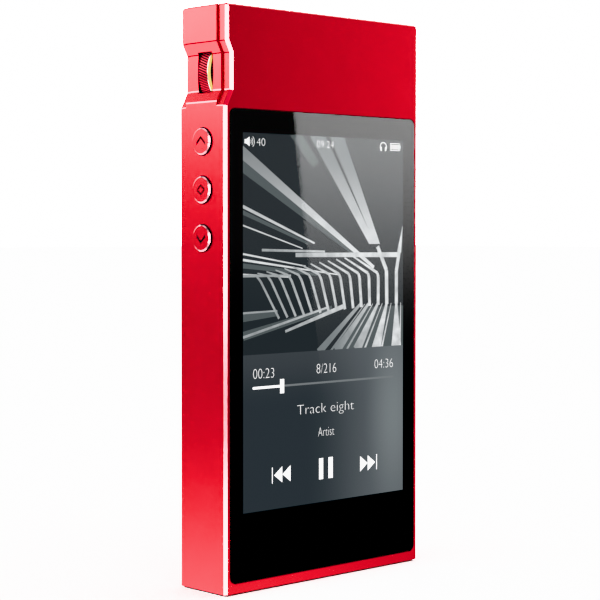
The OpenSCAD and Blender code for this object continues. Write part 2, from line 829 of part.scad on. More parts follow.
housing();
rear_cover();
cover_glass();
glass_adhesive();
touch_sensor();
lcd_panel();
backlight();
mid_plate();
side_button(0, 1);  // previous_button
side_button(1, 0);  // play_button
side_button(2, -1);  // next_button
switch_plunger(0);  // previous_plunger
switch_plunger(1);  // play_plunger
switch_plunger(2);  // next_plunger
track_switches();
side_key_board();
side_key_bracket();
side_key_flex();
power_button();
power_plunger();
power_switch();
status_light_pipe();
status_led();
wheel_rim();
wheel_trim_ring();
wheel_hub();
wheel_shaft();
encoder_rotor();
encoder_body();
wheel_bracket();
wheel_bush();
headphone_jack();
jack_collar();
jack_contacts();
usb_shell();
usb_tongue();
card_socket();
card_socket_shell();
card_contacts();
main_board();
bottom_board();
board_flex();
display_flex();
processor();
memory_chip();
storage_chip();
audio_converter();
headphone_amplifier();
power_manager();
radio_module();
shield_can();
filter_capacitors();
crystals();
battery();
battery_tape();
battery_lead();
battery_plug();
board_screws();
plate_screws();
case_screws();
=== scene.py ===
"""Looks of the digital audio player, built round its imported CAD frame. Lengths are in metres where
nothing else is said."""
import json
import math

import bmesh
import bpy
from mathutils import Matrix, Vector

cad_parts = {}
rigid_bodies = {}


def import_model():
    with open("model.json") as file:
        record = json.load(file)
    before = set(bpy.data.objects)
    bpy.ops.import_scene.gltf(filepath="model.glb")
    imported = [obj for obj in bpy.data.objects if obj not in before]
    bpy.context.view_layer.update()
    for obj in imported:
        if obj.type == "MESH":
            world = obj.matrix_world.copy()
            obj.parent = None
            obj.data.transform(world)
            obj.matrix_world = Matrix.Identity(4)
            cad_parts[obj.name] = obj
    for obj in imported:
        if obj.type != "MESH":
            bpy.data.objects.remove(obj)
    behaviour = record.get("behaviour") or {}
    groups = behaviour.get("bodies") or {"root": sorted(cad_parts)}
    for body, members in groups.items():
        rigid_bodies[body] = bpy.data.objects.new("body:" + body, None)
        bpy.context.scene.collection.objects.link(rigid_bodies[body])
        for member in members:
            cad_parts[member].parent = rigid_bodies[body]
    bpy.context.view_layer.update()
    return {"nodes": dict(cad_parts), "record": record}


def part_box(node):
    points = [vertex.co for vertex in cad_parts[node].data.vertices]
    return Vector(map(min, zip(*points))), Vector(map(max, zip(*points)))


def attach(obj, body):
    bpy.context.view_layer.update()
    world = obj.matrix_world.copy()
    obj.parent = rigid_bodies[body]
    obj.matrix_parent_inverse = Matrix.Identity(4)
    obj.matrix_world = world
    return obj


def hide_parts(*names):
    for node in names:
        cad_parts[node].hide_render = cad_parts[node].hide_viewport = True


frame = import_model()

MM = 0.001
NODES = frame["nodes"]
PLAYER = "player"
SLOT_OF = {part["node"]: part["material_slot"] for part in frame["record"]["subparts"]}
BODY_OF = {node: body for body, members in frame["record"]["behaviour"]["bodies"].items() for node in members}

# Places that several pieces share, taken from the CAD
BODY_LOW, BODY_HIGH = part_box("housing")
GLASS_LOW, GLASS_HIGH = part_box("cover_glass")
FRONT_Y = BODY_LOW.y


# ---------------------------------------------------------------- materials

def add(tree, kind, values=None, **settings):
    """Adds a shader node. A value is a constant, or another node's output to link."""
    node = tree.nodes.new("ShaderNode" + kind)
    for name, setting in settings.items():
        setattr(node, name, setting)
    for name, value in (values or {}).items():
        if isinstance(value, bpy.types.NodeSocket):
            tree.links.new(value, node.inputs[name])
        else:
            node.inputs[name].default_value = value
    return node


def empty_material(name):
    """A new material with nothing in its node tree yet."""
    material = bpy.data.materials.new(name)
    material.use_nodes = True
    material.node_tree.nodes.clear()
    return material, material.node_tree


def object_space(tree, stretch=(1, 1, 1)):
    """The piece's own coordinates in metres, squeezed along each axis by stretch."""
    place = add(tree, "TexCoord").outputs["Object"]
    return add(tree, "Mapping", {"Vector": place, "Scale": stretch}).outputs["Vector"]


def noise(tree, place, size, detail=2.0):
    """Soft noise whose blots are about size across."""
    return add(tree, "TexNoise", {"Vector": place, "Scale": 1 / size, "Detail": detail}).outputs["Fac"]


def spread(tree, value, low, high, from_low=0.3, from_high=0.7):
    """Stretches a noise value over the range low to high."""
    span = {"Value": value, "From Min": from_low, "From Max": from_high, "To Min": low, "To Max": high}
    return add(tree, "MapRange", span).outputs["Result"]


def blend_colour(tree, amount, first, second):
    """Mixes two colours, each of them a constant or another node's output."""
    mix = add(tree, "Mix", data_type="RGBA")
    tree.links.new(amount, mix.inputs[0])
    for index, colour in ((6, first), (7, second)):
        if isinstance(colour, bpy.types.NodeSocket):
            tree.links.new(colour, mix.inputs[index])
        else:
            mix.inputs[index].default_value = (*colour, 1)
    return mix.outputs[2]


def surface(name, colour, shade, rough, grain=0.12 * MM, relief=0.1, drift=6 * MM,
            stretch=(1, 1, 1), **gloss):
    """A material whose colour drifts between two shades, with a fine grain in its gloss and relief.
    gloss holds more inputs of the shader, with their names in lower case and joined by underlines."""
    material, tree = empty_material(name)
    place = object_space(tree, stretch)
    fine = noise(tree, place, grain)
    hue = blend_colour(tree, spread(tree, noise(tree, place, drift, 4.0), 0, 1), colour, shade)
    bump = add(tree, "Bump", {"Strength": relief, "Distance": grain, "Height": fine}).outputs["Normal"]
    values = {"Base Color": hue, "Roughness": spread(tree, fine, *rough), "Normal": bump}
    for key, value in gloss.items():
        values[key.replace("_", " ").title().replace("Ior", "IOR")] = value
    shader = add(tree, "BsdfPrincipled", values)
    add(tree, "OutputMaterial", {"Surface": shader.outputs[0]})
    return material


# The view transform takes TOE off every colour, less off the darkest ones, and presses together
# what is brighter than KNEE. BRIGHTEST is the highest tone asked of it.
TOE = 0.04
KNEE = 0.76
BRIGHTEST = 0.955
# How long one wave of a wave texture of scale 1 is
WAVE_LENGTH = 0.314


def light_for(shown):
    """The light that the scene's view transform shows as a colour: it undoes its toe and its knee."""
    low = min(shown)
    toe = 2 * math.sqrt(TOE * low) - low if low < TOE else TOE
    raised = [part + toe for part in shown]
    peak = max(raised) - TOE
    if peak <= KNEE:
        return tuple(raised)
    room = 1 - KNEE
    lifted = room ** 2 / (1 - min(peak, BRIGHTEST)) + KNEE - room
    return tuple(part * lifted / peak for part in raised)


def light_screen(name, shown, glow=None, pitch=0.16 * MM):
    """A lit area of the display: even light, faintly crossed by the grid of its picture elements.
    glow changes the light from place to place."""
    colour = light_for(shown)
    material, tree = empty_material(name)
    place = object_space(tree)
    wave = {"Vector": place, "Scale": WAVE_LENGTH / pitch}
    grid = add(tree, "TexWave", wave, bands_direction="Z").outputs["Fac"]
    shade = tuple(0.93 * c for c in colour)
    hue = blend_colour(tree, grid, shade, colour)
    if glow:
        hue = glow(tree, place, hue)
    shader = add(tree, "Emission", {"Color": hue, "Strength": 1.0})
    add(tree, "OutputMaterial", {"Surface": shader.outputs[0]})
    return material


def make_materials():
    """One finish for each material slot in the record, with a few more for edges, marks and painted shade."""
    red = (0.72, 0.0, 0.016)
    return {
        "red_aluminium": surface(
            "blasted red aluminium", red, (0.69, 0.0, 0.014), (0.18, 0.23), relief=0.04,
            metallic=1.0, coat_weight=0.2, coat_roughness=0.2),
        "cut_red": surface(
            "diamond cut red edge", (0.95, 0.42, 0.47), (0.92, 0.39, 0.44), (0.07, 0.1), relief=0.02,
            stretch=(1, 1, 0.05), metallic=1.0, coat_weight=0.6, coat_roughness=0.1),
        "soft_red_edge": surface(
            "fine red edge", (0.76, 0.0, 0.026), (0.72, 0.0, 0.022), (0.12, 0.18), relief=0.03,
            metallic=1.0, coat_weight=0.5, coat_roughness=0.12),
        # Dark red painted shade for the steps beside the raised band and the upper slope's edges
        "painted_shade_red": surface(
            "painted shade red edge", (0.3, 0.0, 0.008), (0.26, 0.0, 0.006), (0.5, 0.6), relief=0.03,
            specular_ior_level=0.0),
        "matt_red": surface(
            "matt red edge", (0.74, 0.013, 0.045), (0.7, 0.012, 0.04), (0.5, 0.6), relief=0.03,
            specular_ior_level=0.0),
        "knurled_red": surface(
            "knurled red", (0.9, 0.012, 0.05), (0.85, 0.01, 0.04), (0.3, 0.4), relief=0.05,
            metallic=0.6),
        "red_plastic": surface(
            "red moulded cover", (0.5, 0.001, 0.012), (0.46, 0.001, 0.01), (0.36, 0.46), relief=0.12,
            metallic=0.55, coat_weight=0.25, coat_roughness=0.3),
        # Black for printed marks, and black painted shade in grooves, gaps, the wheel's slot and along the
        # foot
        "black_mark_and_painted_shade": surface(
            "black filled mark and painted shade", (0.002, 0.002, 0.002), (0.004, 0.003, 0.003), (0.6, 0.8), relief=0.2,
            specular_ior_level=0.1),
        "black_glass": surface(
            "black printed backing", (0.0006, 0.0006, 0.0007), (0.0009, 0.0009, 0.001), (0.4, 0.5),
            relief=0.02, specular_ior_level=0.0),
        "display_glass": surface(
            "display glass", (0.02, 0.025, 0.03), (0.03, 0.035, 0.04), (0.08, 0.14), relief=0.02,
            coat_weight=0.5),
        "white_film": surface(
            "diffuser film", (0.8, 0.81, 0.83), (0.74, 0.75, 0.78), (0.45, 0.6), grain=0.3 * MM),
        "black_film": surface(
            "black adhesive film", (0.012, 0.012, 0.012), (0.02, 0.02, 0.02), (0.6, 0.8), relief=0.3),
        "white_nylon": surface(
            "natural nylon", (0.78, 0.77, 0.72), (0.7, 0.69, 0.63), (0.4, 0.55), grain=0.25 * MM,
            relief=0.15, subsurface_weight=0.1, subsurface_scale=0.5 * MM),
        "black_plastic": surface(
            "black moulding", (0.012, 0.012, 0.013), (0.02, 0.02, 0.021), (0.35, 0.5), relief=0.15),
        "clear_plastic": surface(
            "clear light pipe", (0.86, 0.88, 0.9), (0.8, 0.83, 0.87), (0.12, 0.2), relief=0.03,
            transmission_weight=0.5, coat_weight=0.5),
        "white_ceramic": surface(
            "ceramic and phosphor", (0.9, 0.87, 0.6), (0.84, 0.84, 0.78), (0.3, 0.45), drift=0.6 * MM),
        "gold_plated_brass": surface(
            "gold plating", (0.86, 0.7, 0.26), (0.8, 0.62, 0.2), (0.3, 0.42), drift=2 * MM, relief=0.05,
            metallic=1.0),
        "polished_steel": surface(
            "polished steel edge", (0.82, 0.8, 0.78), (0.74, 0.73, 0.72), (0.14, 0.2), relief=0.03,
            metallic=1.0),
        "steel": surface(
            "brushed steel", (0.6, 0.61, 0.62), (0.5, 0.51, 0.53), (0.25, 0.42), stretch=(0.06, 1, 1),
            metallic=1.0),
        "black_steel": surface(
            "blackened steel", (0.05, 0.05, 0.053), (0.08, 0.075, 0.07), (0.35, 0.5), relief=0.12,
            metallic=0.9),
        "circuit_board": circuit_board(),
        "amber_film": surface(
            "polyimide film", (0.72, 0.33, 0.04), (0.6, 0.24, 0.02), (0.2, 0.35), stretch=(1, 1, 0.2),
            relief=0.05, coat_weight=0.4),
        "chip_resin": surface(
            "moulded chip resin", (0.02, 0.02, 0.022), (0.035, 0.034, 0.035), (0.5, 0.7),
            grain=0.08 * MM, relief=0.35),
        "capacitor_film": surface(
            "film capacitor", (0.62, 0.4, 0.06), (0.54, 0.32, 0.04), (0.25, 0.4), relief=0.08),
        "battery_pouch": surface(
            "laminated foil", (0.6, 0.62, 0.65), (0.5, 0.52, 0.56), (0.25, 0.45), grain=0.8 * MM,
            relief=0.25, metallic=0.85),
        "white_tape": surface(
            "foam tape", (0.85, 0.84, 0.8), (0.76, 0.75, 0.7), (0.7, 0.85), grain=0.15 * MM,
            relief=0.3),
        "wire_sleeve": surface(
            "wire sleeve", (0.55, 0.01, 0.012), (0.48, 0.008, 0.01), (0.3, 0.42), relief=0.05),
    }


def circuit_board():
    """Green solder mask over copper tracks, which show as paler lines in a square pattern."""
    material, tree = empty_material("solder mask over tracks")
    place = object_space(tree)
    tracks = add(tree, "TexBrick", {
        "Vector": place, "Scale": 0.26 / MM, "Mortar Size": 0.06, "Mortar Smooth": 0.2,
        "Brick Width": 1.4, "Row Height": 0.35}).outputs["Fac"]
    blots = spread(tree, noise(tree, place, 3 * MM), 0, 1, 0.45, 0.5)
    shown = add(tree, "Math", {0: tracks, 1: blots}, operation="MULTIPLY").outputs[0]
    hue = blend_colour(tree, shown, (0.006, 0.07, 0.022), (0.03, 0.2, 0.06))
    relief = {"Strength": 0.4, "Distance": 0.05 * MM, "Height": shown}
    bump = add(tree, "Bump", relief).outputs["Normal"]
    rough = spread(tree, noise(tree, place, 0.2 * MM), 0.25, 0.4)
    shader = add(tree, "BsdfPrincipled", {
        "Base Color": hue, "Roughness": rough, "Normal": bump, "Coat Weight": 0.4})
    add(tree, "OutputMaterial", {"Surface": shader.outputs[0]})
    return material


def clear_pane():
    """Front glass: what is behind shows through, under a thin sharp reflection with faint smears."""
    material, tree = empty_material("clear cover glass")
    smear = noise(tree, object_space(tree, (1, 1, 0.3)), 12 * MM, 3.0)
    gloss = add(tree, "BsdfGlossy", {"Color": (1, 1, 1, 1), "Roughness": spread(tree, smear, 0.0, 0.02)})
    back_side = add(tree, "NewGeometry").outputs["Backfacing"]
    front_side = add(tree, "Math", {0: 1.0, 1: back_side}, operation="SUBTRACT").outputs[0]
    mirrored = add(tree, "Fresnel", {"IOR": 1.45}).outputs[0]
    share = add(tree, "Math", {0: mirrored, 1: front_side}, operation="MULTIPLY").outputs[0]
    behind = add(tree, "BsdfTransparent")
    mix = add(tree, "MixShader", {0: share, 1: behind.outputs[0], 2: gloss.outputs[0]})
    add(tree, "OutputMaterial", {"Surface": mix.outputs[0]})
    return material


FINISH = make_materials()


# ---------------------------------------------------------------- mesh helpers

# The area under which a face of the casing counts as a part of a curve
LARGEST_CURVED = 0.6 * MM * MM
# How far an edge turns before it is shaded as sharp, and before it can be rounded
SHADED_SHARP = math.radians(32)
SHARP_EDGE = math.radians(24)
# How thick the shapes on the screen are
SHAPE_THICK = 0.01 * MM
# How deep the outside of the left side reaches, with the foot of its recess
WALL_DEPTH = 1.8 * MM


def place_piece(name, mesh, body, materials, flat_faces=False):
    """Links a new piece to its CAD body and gives it its finish. With flat_faces, just its small faces
    are shaded as parts of a curve."""
    piece = bpy.data.objects.new(name, mesh)
    bpy.context.scene.collection.objects.link(piece)
    for material in materials:
        mesh.materials.append(material)
    mesh.set_sharp_from_angle(angle=SHADED_SHARP)
    smooth = [not flat_faces or polygon.area < LARGEST_CURVED for polygon in mesh.polygons]
    mesh.polygons.foreach_set("use_smooth", smooth)
    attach(piece, body)
    return piece


def mesh_of(bm, name):
    """Turns a built shape into a mesh, with all its faces looking outwards."""
    bmesh.ops.recalc_face_normals(bm, faces=bm.faces)
    mesh = bpy.data.meshes.new(name)
    bm.to_mesh(mesh)
    bm.free()
    return mesh


def loft(name, rings, closed=False, material_of=None):
    """Skins a row of rings of points. A closed row joins its last ring to the first, an open one gets
    end caps. material_of gives the finish of the faces that follow point i of the rings."""
    bm = bmesh.new()
    rows = [[bm.verts.new(point) for point in ring] for ring in rings]
    count = len(rings[0])
    for k in range(len(rows) if closed else len(rows) - 1):
        low, high = rows[k], rows[(k + 1) % len(rows)]
        for i in range(count):
            j = (i + 1) % count
            face = bm.faces.new((low[i], low[j], high[j], high[i]))
            if material_of:
                face.material_index = material_of(i)
    if not closed:
        bm.faces.new(rows[0])
        bm.faces.new(rows[-1])
    return mesh_of(bm, name)


def rounded_outline(width, height, radius, steps=8):
    """Points round a rectangle with arcs at its corners, as (x, z) about its middle."""
    points = []
    for quarter, (side, end) in enumerate(((1, 1), (-1, 1), (-1, -1), (1, -1))):
        for k in range(steps + 1):
            angle = math.radians(90 * (quarter + k / steps))
            points.append((side * (width / 2 - radius) + radius * math.cos(angle),
                           end * (height / 2 - radius) + radius * math.sin(angle)))
    return points


def rounded_slab(name, low, high, radius, front, back, fillet, steps=4):
    """A plate that faces -Y from (x, z) low to high, with its front edge rounded over."""
    middle = ((low[0] + high[0]) / 2, (low[1] + high[1]) / 2)
    width, height = high[0] - low[0], high[1] - low[1]
    rings = []
    for k in range(steps + 1):
        angle = math.radians(90 * k / steps)
        inset = fillet * (1 - math.sin(angle))
        depth = front + fillet * (1 - math.cos(angle))
        outline = rounded_outline(width - 2 * inset, height - 2 * inset, radius - inset)
        rings.append([(middle[0] + x, depth, middle[1] + z) for x, z in outline])
    rings.append([(x, back, z) for x, _, z in rings[-1]])
    return loft(name, rings)


def flat_shapes(name, outlines, front):
    """Thin solid shapes that face -Y, from outlines given as (x, z) points."""
    bm = bmesh.new()
    for outline in outlines:
        near = [bm.verts.new((x, front, z)) for x, z in outline]
        far = [bm.verts.new((x, front + SHAPE_THICK, z)) for x, z in outline]
        bm.faces.new(near)
        bm.faces.new(far[::-1])
        for i in range(len(outline)):
            j = (i + 1) % len(outline)
            bm.faces.new((near[j], near[i], far[i], far[j]))
    return mesh_of(bm, name)


def on_skin(point):
    """Whether a point of the casing lies on its outside, rather than in the cavity."""
    return (point.x < BODY_LOW.x + WALL_DEPTH or point.x > BODY_HIGH.x - 0.3 * MM
            or point.z < BODY_LOW.z + 0.05 * MM or point.z > BODY_HIGH.z - 0.05 * MM
            or point.y < BODY_LOW.y + 0.7 * MM or point.y > BODY_HIGH.y - 0.7 * MM)


def round_edges(bm, width, wanted, segments, material):
    """Rounds those sharp edges of a mesh that are wanted, and gives the rounds a finish."""
    sharp = [edge for edge in bm.edges
             if len(edge.link_faces) == 2 and edge.calc_face_angle() > SHARP_EDGE and wanted(edge)]
    bmesh.ops.bevel(bm, geom=sharp, offset=width, segments=segments, profile=0.5, affect="EDGES",
                    material=material, clamp_overlap=False, miter_outer="ARC")


def softened(node, materials, rounds, face_material=None):
    """Stands for a CAD node with the same shape, its sharp edges rounded and its faces given finishes.
    Each round is (width, wanted edges, segments, index of its finish). No corner leaves the node's box."""
    bm = bmesh.new()
    bm.from_mesh(NODES[node].data)
    bmesh.ops.remove_doubles(bm, verts=bm.verts, dist=0.002 * MM)
    bmesh.ops.dissolve_limit(bm, angle_limit=math.radians(0.6), verts=bm.verts, edges=bm.edges)
    bmesh.ops.recalc_face_normals(bm, faces=bm.faces)
    for face in bm.faces:
        face.material_index = face_material(face) if face_material else 0
    for width, wanted, segments, material in rounds:
        round_edges(bm, width, wanted, segments, material)
    low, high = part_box(node)
    for vert in bm.verts:
        vert.co = [min(max(value, least), most) for value, least, most in zip(vert.co, low, high)]
    piece = place_piece(node + "_finished", mesh_of(bm, node), BODY_OF[node], materials, True)
    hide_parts(node)
    return piece


def every_edge(_):
    """Wants all the sharp edges."""
    return True


def edges_where(test):
    """Wants the sharp edges whose two ends both pass a test."""
    return lambda edge: all(test(vert.co) for vert in edge.verts)


# ---------------------------------------------------------------- casing

KEYS = ("previous_button", "play_button", "next_button")
# How far from the middle of a key its mark reaches at most
MARK_R = 2 * MM
# How far from the middle of the thickness the strips along the front and the back edge start
FRONT_EDGE = -FRONT_Y - 0.9 * MM
# How far in from the left side its recess and steps are looked for
RECESS_DEPTH = 2 * MM
# The heights between which the edges of the recess's two slopes lie
UPPER_SLOPE = (99 * MM, 106 * MM)
LOWER_SLOPE = (90 * MM, 96 * MM)
# How far from the wheel's middle the walls of its slot are painted black as shade, in all and along its axis
SLOT_REACH = 9 * MM
SLOT_HALF = 3 * MM
# Faces whose normal has a lower y than this lean to the front
FORWARD = -0.25


def box_middle(node):
    """The middle of a CAD node's box."""
    low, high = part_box(node)
    return (low + high) / 2


def casing():
    """Blasted body whose long chamfers are diamond cut, with fine soft edges elsewhere, and painted shade in
    black and dark red at its slot, key holes, foot and steps.
    """
    key_middles = [box_middle(node) for node in KEYS]
    wheel = box_middle("wheel_rim")

    def among_steps(point):
        """Among the openings and steps of the left side."""
        return point.x < BODY_LOW.x + RECESS_DEPTH and abs(point.y) < FRONT_EDGE

    def body_face(face):
        """Which finish a face of the body has: 0 blasted, 1 diamond cut, 3 black inside the wheel's slot as
        painted shade, 4 dark red on the steps beside the raised band as painted shade, 5 matt on the chamfer
        that turns up at the recess."""
        point = face.calc_center_median()
        to_wheel = wheel - point
        faces_wheel = to_wheel.length < SLOT_REACH and face.normal.dot(to_wheel) > 0
        # The walls of the wheel's slot are painted black as shade
        if faces_wheel and abs(to_wheel.y) < SLOT_HALF:
            return 3
        # The forward-facing steps beside the raised band get dark red painted shade
        if among_steps(point) and face.normal.y < FORWARD:
            return 4
        if not (-0.9 < face.normal.y < FORWARD and abs(face.normal.x) > 0.5 and on_skin(point)):
            return 0
        return 1 if face.normal.z < 0.2 else 5

    def outside(point):
        """On the skin, but not among the steps of the left side, which stay crisp."""
        return on_skin(point) and not among_steps(point)

    def foot(point):
        """On the outline of the bottom end."""
        rim = abs(point.y) > FRONT_EDGE or point.x < BODY_LOW.x + MM or point.x > BODY_HIGH.x - MM
        return point.z < BODY_LOW.z + 0.05 * MM and rim

    def key_hole(point):
        """On the outer rim of a key's hole."""
        return (point.x < BODY_LOW.x + 0.05 * MM
                and any((point - middle).yz.length < 2.8 * MM for middle in key_middles))

    def recess_edge(low_z, high_z):
        """The edges across the thickness where the recess starts, bottoms out and ends."""
        def wanted(edge):
            first, second = edge.verts[0].co, edge.verts[1].co
            across = abs(second.y - first.y) > 0.95 * (second - first).length
            middle = (first + second) / 2
            return (across and middle.x < BODY_LOW.x + WALL_DEPTH and low_z < middle.z < high_z
                    and edge.calc_face_angle() < math.radians(40))
        return wanted

    names = ("red_aluminium", "cut_red", "soft_red_edge", "black_mark_and_painted_shade", "painted_shade_red", "matt_red")
    rounds = [
        # The upper slope's rounded edges are dark red painted shade
        (0.12 * MM, recess_edge(*UPPER_SLOPE), 3, 4),
        (0.12 * MM, recess_edge(*LOWER_SLOPE), 3, 1),
        # The rims of the key holes and the outline of the foot are rounded in black painted shade
        (0.1 * MM, edges_where(key_hole), 1, 3),
        (0.3 * MM, edges_where(foot), 1, 3),
        (0.05 * MM, edges_where(outside), 2, 2)]
    softened("housing", [FINISH[name] for name in names], rounds, body_face)
    cover_back = edges_where(lambda point: point.y > 6.2 * MM)
    softened("rear_cover", [FINISH["red_plastic"]], [(0.08 * MM, cover_back, 2, 0)])
    key_finishes = [FINISH["red_aluminium"], FINISH["soft_red_edge"]]
    softened("power_button", key_finishes, [(0.08 * MM, every_edge, 3, 1)])
    softened("jack_collar", [FINISH["gold_plated_brass"]], [(0.05 * MM, every_edge, 2, 0)])
    softened("usb_shell", [FINISH["steel"]], [(0.04 * MM, every_edge, 2, 0)])
    softened("case_screws", [FINISH["black_steel"]], [(0.04 * MM, every_edge, 2, 0)])


def side_buttons():
    """Round keys with a bevelled rim, flanks painted black as shade, and a black filled mark."""
    for node in KEYS:
        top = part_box(node)[0].x
        middle = box_middle(node)

        def key_face(face, top=top, middle=middle):
            """0 on the blasted face, 1 black on the mark, which is print, and on the flanks, which is painted
            shade, 2 on the bevelled rim.
            """
            point = face.calc_center_median()
            away = (point - middle).yz.length
            if away < MARK_R:
                return 1 if top + 0.02 * MM < point.x < top + 0.15 * MM else 0
            across = abs(face.normal.x)
            if across < 0.3:
                return 1
            return 2 if across < 0.95 else 0

        finishes = [FINISH["red_aluminium"], FINISH["black_mark_and_painted_shade"], FINISH["cut_red"]]
        softened(node, finishes, [], key_face)


# ---------------------------------------------------------------- volume wheel

WHEEL_LOW, WHEEL_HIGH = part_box("wheel_rim")
WHEEL = (WHEEL_LOW + WHEEL_HIGH) / 2
WHEEL_R = (WHEEL_HIGH.z - WHEEL_LOW.z) / 2
RIM_HALF = (WHEEL_HIGH.y - WHEEL_LOW.y) / 2
HUB_R = WHEEL_R - 1.1 * MM
RING_LOW, RING_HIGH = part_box("wheel_trim_ring")
RING_HALF = (RING_HIGH.y - RING_LOW.y) / 2


def turned(name, profile_at, steps, material_of=None):
    """A closed ring about the wheel's axis. At each step its profile has points of radius, offset along Y
    and twist, in radians."""
    rings = []
    for k in range(steps):
        ring = []
        for radius, along, twist in profile_at(k):
            angle = 2 * math.pi * k / steps + twist
            x, z = radius * math.cos(angle), radius * math.sin(angle)
            ring.append((WHEEL.x + x, WHEEL.y + along, WHEEL.z + z))
        rings.append(ring)
    return loft(name, rings, closed=True, material_of=material_of)


def knurled_rim():
    """Red rim with slanting teeth, and black painted shade in the grooves between them."""
    teeth = 88
    rows = 4
    steps = 10
    depth = 0.2 * MM
    slant = 0.9 * MM / WHEEL_R

    def profile(step):
        groove = 1 if 2 <= step % steps <= 8 else 0
        points = [(HUB_R, -RIM_HALF, 0)]
        for row in range(rows + 1):
            part = row / rows
            points.append((WHEEL_R - depth * groove, RIM_HALF * (2 * part - 1), -slant * part))
        return points + [(HUB_R, RIM_HALF, -slant)]

    mesh = turned("knurled_rim", profile, teeth * steps)
    # The grooves get black painted shade
    for polygon in mesh.polygons:
        across = Vector((polygon.center.x - WHEEL.x, polygon.center.z - WHEEL.z)).length
        polygon.material_index = 1 if across < WHEEL_R - 0.7 * depth else 0
    piece = place_piece("knurled_rim", mesh, "volume_wheel",
                        [FINISH["knurled_red"], FINISH["black_mark_and_painted_shade"]])
    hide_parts("wheel_rim")


def trim_rings():
    """Gold bevels on both sides of the rim, each with a narrow polished land next to the teeth and a
    black flat end."""
    steps = 144
    materials = [FINISH[name] for name in ("gold_plated_brass", "polished_steel", "black_plastic")]
    finish_after_point = {1: 1, 4: 2}
    for side, name, land, outer in ((-1, "front_trim_ring", 0.14 * MM, WHEEL_R),
                                    (1, "back_trim_ring", 0.02 * MM, WHEEL_R - 0.5 * MM)):
        profile = [(HUB_R, RIM_HALF), (outer, RIM_HALF), (outer, RIM_HALF + land),
                   (outer - 0.36 * MM, RING_HALF - 0.04 * MM), (outer - 0.42 * MM, RING_HALF),
                   (HUB_R, RING_HALF)]
        points = [(radius, side * along, 0) for radius, along in profile]
        mesh = turned(name, lambda _, points=points: points, steps,
                      lambda i: finish_after_point.get(i, 0))
        piece = place_piece(name, mesh, "volume_wheel", materials)
        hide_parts("wheel_trim_ring")


# ---------------------------------------------------------------- screen

PANEL_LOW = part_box("lcd_panel")[0]
PICTURE_W = 43.4 * MM
PICTURE_LOW_Z = PANEL_LOW.z + 5.2 * MM
PICTURE_HIGH_Z = PICTURE_LOW_Z + 70.9 * MM
ART_LOW_Z = 44.55 * MM
# Depths of the layers, from the back of the clear pane to the black print behind the picture
PANE_BACK = GLASS_LOW.y + 0.1 * MM
MARK_FRONT = PANE_BACK + 0.005 * MM
ART_FRONT = MARK_FRONT + 0.004 * MM
SHADE_FRONT = MARK_FRONT + 0.022 * MM
PICTURE_FRONT = SHADE_FRONT + 0.02 * MM
BACKING_FRONT = PICTURE_FRONT + 0.02 * MM


def screen_layers():
    """Front pane and black printed backing, with the depth between them left for the lit picture."""
    low, high = (GLASS_LOW.x, GLASS_LOW.z), (GLASS_HIGH.x, GLASS_HIGH.z)
    corner = 1.4 * MM
    mesh = rounded_slab("front_pane", low, high, corner, GLASS_LOW.y, PANE_BACK, 0.08 * MM)
    for polygon in mesh.polygons:
        polygon.material_index = 1 if abs(polygon.normal.y) < 0.9 else 0
    pane = place_piece("front_pane", mesh, PLAYER, [clear_pane(), FINISH["black_glass"]], True)
    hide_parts("cover_glass")
    edge = 0.05 * MM
    low = (low[0] + edge, low[1] + edge)
    high = (high[0] - edge, high[1] - edge)
    mesh = rounded_slab(
        "printed_backing", low, high, corner - edge, BACKING_FRONT, GLASS_HIGH.y, 0.02 * MM)
    place_piece("printed_backing", mesh, PLAYER, [FINISH["black_glass"]], True)
    return pane


def ramp_to(tree, place, axis, start, end, low=0.0, high=1.0):
    """Rises smoothly along one axis, from low at start to high at end."""
    value = add(tree, "SeparateXYZ", {"Vector": place}).outputs[axis]
    span = {"Value": value, "From Min": start, "From Max": end, "To Min": low, "To Max": high}
    return add(tree, "MapRange", span, interpolation_type="SMOOTHSTEP").outputs["Result"]


def panel_glow(tree, place, hue):
    """The panel under the picture pales to the top and right, most of all in a slanting patch near
    its right edge."""
    up = ramp_to(tree, place, "Z", 34 * MM, 45 * MM)
    hue = blend_colour(tree, up, hue, light_for((0.045, 0.055, 0.063)))
    right = ramp_to(tree, place, "X", -6 * MM, 19 * MM)
    hue = blend_colour(tree, right, hue, light_for((0.11, 0.128, 0.14)))
    shift = {"Vector": place, "Location": (-19 * MM, 0, -31 * MM)}
    centre = add(tree, "Mapping", shift).outputs["Vector"]
    turn = {"Vector": centre, "Rotation": (0, math.radians(-28), 0), "Scale": (1.2, 0, 0.45)}
    squash = add(tree, "Mapping", turn).outputs["Vector"]
    away = add(tree, "VectorMath", {0: squash}, operation="LENGTH").outputs["Value"]
    span = {"Value": away, "From Min": 0.0, "From Max": 11 * MM, "To Min": 1.0, "To Max": 0.0}
    spot = add(tree, "MapRange", span, interpolation_type="SMOOTHSTEP").outputs["Result"]
    return blend_colour(tree, spot, hue, light_for((0.19, 0.215, 0.225)))


def beam_light(tree, place, hue):
    """Beams brighten on their way down, with soft darker patches."""
    down = ramp_to(tree, place, "Z", 85 * MM, 61 * MM)
    hue = blend_colour(tree, down, hue, light_for((0.78, 0.8, 0.81)))
    patches = spread(tree, noise(tree, place, 3.5 * MM), 0, 0.35)
    return blend_colour(tree, patches, hue, light_for((0.3, 0.32, 0.33)))


def light_to_right(start, end):
    """A glow that brightens to the right from start to end, with brighter and darker patches."""
    def glow(tree, place, hue):
        hue = blend_colour(tree, ramp_to(tree, place, "X", start, end), hue, light_for((0.8, 0.82, 0.83)))
        patches = spread(tree, noise(tree, place, 2.2 * MM), 0, 0.5)
        return blend_colour(tree, patches, hue, light_for((0.18, 0.2, 0.21)))
    return glow


